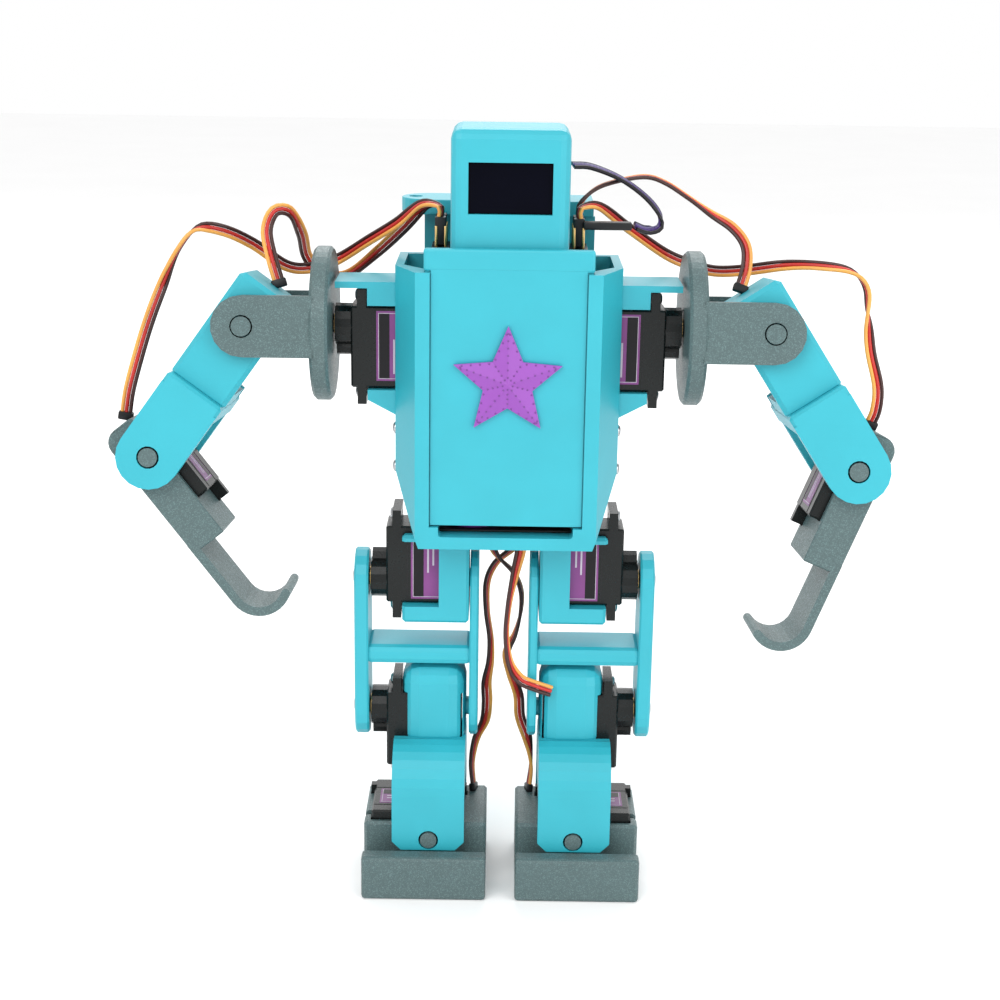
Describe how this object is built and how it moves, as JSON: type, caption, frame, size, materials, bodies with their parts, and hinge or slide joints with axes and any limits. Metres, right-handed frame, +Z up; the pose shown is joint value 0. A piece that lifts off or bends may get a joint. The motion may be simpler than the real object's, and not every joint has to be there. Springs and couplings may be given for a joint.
{
  "type": "humanoid robot kit",
  "caption": "Small biped humanoid robot with servo-driven printed limbs, a chest box with a sliding cover, a display head, hook hands and wide bumper feet.",
  "frame": {"origin": "on the floor below the middle of the body", "axes": "+Z up, -Y the way the robot faces, +X to the robot's own left"},
  "size_m": [0.2146, 0.0535, 0.219],
  "materials": {
    "printed_blue": "fine layer lines, satin",
    "printed_grey": "fine layer lines with glitter",
    "printed_purple": "satin",
    "servo_black": "smoked, glossy",
    "horn_black": "moulded",
    "display_glass": "glossy, switched off",
    "board_dark": "solder mask and black plastic",
    "battery_purple": "glossy sleeve",
    "lead_wire": "smooth insulation"
  },
  "bodies": {
    "torso": {"torso_frame": "printed_blue", "controller_board": "board_dark", "head_shell": "printed_blue", "display_module": "display_glass", "neck_deck": "printed_blue", "battery_cell": "battery_purple", "battery_tray": "board_dark", "power_module": "board_dark", "shoulder_servo_left": "servo_black", "hip_servo_left": "servo_black", "hip_bracket_left": "printed_blue", "lead_header_left": "board_dark", "shoulder_servo_right": "servo_black", "hip_servo_right": "servo_black", "hip_bracket_right": "printed_blue", "lead_header_right": "board_dark", "lead_elbow_right": "lead_wire", "lead_roll_right": "lead_wire", "lead_elbow_left": "lead_wire", "lead_roll_left": "lead_wire", "lead_display": "lead_wire", "lead_leg_right": "lead_wire", "lead_leg_left": "lead_wire", "lead_knee_left": "lead_wire"},
    "cover": {"front_cover": "printed_blue", "star_badge": "printed_purple"},
    "left_shoulder": {"shoulder_disc_left": "printed_grey", "shoulder_horn_left": "horn_black", "roll_horn_left": "horn_black"},
    "left_upper_arm": {"upper_arm_left": "printed_blue", "shoulder_pin_left": "printed_grey", "roll_servo_left": "servo_black", "elbow_horn_left": "horn_black"},
    "left_forearm": {"forearm_left": "printed_grey", "elbow_servo_left": "servo_black"},
    "left_thigh": {"thigh_frame_left": "printed_blue", "hip_horn_left": "horn_black", "knee_horn_left": "horn_black"},
    "left_shin": {"shin_left": "printed_blue", "knee_servo_left": "servo_black", "ankle_horn_left": "horn_black"},
    "left_foot": {"foot_left": "printed_grey", "ankle_servo_left": "servo_black"},
    "right_shoulder": {"shoulder_disc_right": "printed_grey", "shoulder_horn_right": "horn_black", "roll_horn_right": "horn_black"},
    "right_upper_arm": {"upper_arm_right": "printed_blue", "shoulder_pin_right": "printed_grey", "roll_servo_right": "servo_black", "elbow_horn_right": "horn_black"},
    "right_forearm": {"forearm_right": "printed_grey", "elbow_servo_right": "servo_black"},
    "right_thigh": {"thigh_frame_right": "printed_blue", "hip_horn_right": "horn_black", "knee_horn_right": "horn_black"},
    "right_shin": {"shin_right": "printed_blue", "knee_servo_right": "servo_black", "ankle_horn_right": "horn_black"},
    "right_foot": {"foot_right": "printed_grey", "ankle_servo_right": "servo_black"}
  },
  "joints": [
    {"name": "cover_slide", "type": "slide", "parent": "torso", "child": "cover", "axis": [0, 0, 1], "range_m": [0, 0.06]},
    {"name": "left_shoulder_pitch", "type": "hinge", "parent": "torso", "child": "left_shoulder", "pos_m": [0.0515, 0, 0.1637], "axis": [1, 0, 0], "range_deg": [-110, 50], "deforming": ["lead_elbow_left", "lead_roll_left"]},
    {"name": "left_shoulder_roll", "type": "hinge", "parent": "left_shoulder", "child": "left_upper_arm", "pos_m": [0.0717, 0, 0.1637], "axis": [0, 0.9925, -0.1219], "range_deg": [-85, 12]},
    {"name": "left_elbow", "type": "hinge", "parent": "left_upper_arm", "child": "left_forearm", "pos_m": [0.0956, -0.0045, 0.12703], "axis": [0, 0.9925, -0.1219], "range_deg": [-55, 30]},
    {"name": "left_hip", "type": "hinge", "parent": "torso", "child": "left_thigh", "pos_m": [0.041, 0, 0.0897], "axis": [1, 0, 0], "range_deg": [-85, 40], "deforming": ["lead_leg_left", "lead_knee_left"]},
    {"name": "left_knee", "type": "hinge", "parent": "left_thigh", "child": "left_shin", "pos_m": [0.041, 0, 0.0498], "axis": [1, 0, 0], "range_deg": [-5, 80]},
    {"name": "left_ankle", "type": "hinge", "parent": "left_shin", "child": "left_foot", "pos_m": [0.021, 0, 0.0159], "axis": [0, 1, 0], "range_deg": [-20, 20]},
    {"name": "right_shoulder_pitch", "type": "hinge", "parent": "torso", "child": "right_shoulder", "pos_m": [-0.0515, 0, 0.1637], "axis": [1, 0, 0], "range_deg": [-110, 50], "deforming": ["lead_elbow_right", "lead_roll_right"]},
    {"name": "right_shoulder_roll", "type": "hinge", "parent": "right_shoulder", "child": "right_upper_arm", "pos_m": [-0.0717, 0, 0.1637], "axis": [0, 0.9925, -0.1219], "range_deg": [-8, 85]},
    {"name": "right_elbow", "type": "hinge", "parent": "right_upper_arm", "child": "right_forearm", "pos_m": [-0.09725, -0.00437, 0.12815], "axis": [0, 0.9925, -0.1219], "range_deg": [-15, 70]},
    {"name": "right_hip", "type": "hinge", "parent": "torso", "child": "right_thigh", "pos_m": [-0.041, 0, 0.0897], "axis": [1, 0, 0], "range_deg": [-85, 40], "deforming": ["lead_leg_right"]},
    {"name": "right_knee", "type": "hinge", "parent": "right_thigh", "child": "right_shin", "pos_m": [-0.041, 0, 0.0498], "axis": [1, 0, 0], "range_deg": [-5, 80]},
    {"name": "right_ankle", "type": "hinge", "parent": "right_shin", "child": "right_foot", "pos_m": [-0.021, 0, 0.0159], "axis": [0, 1, 0], "range_deg": [-20, 20]}
  ]
}
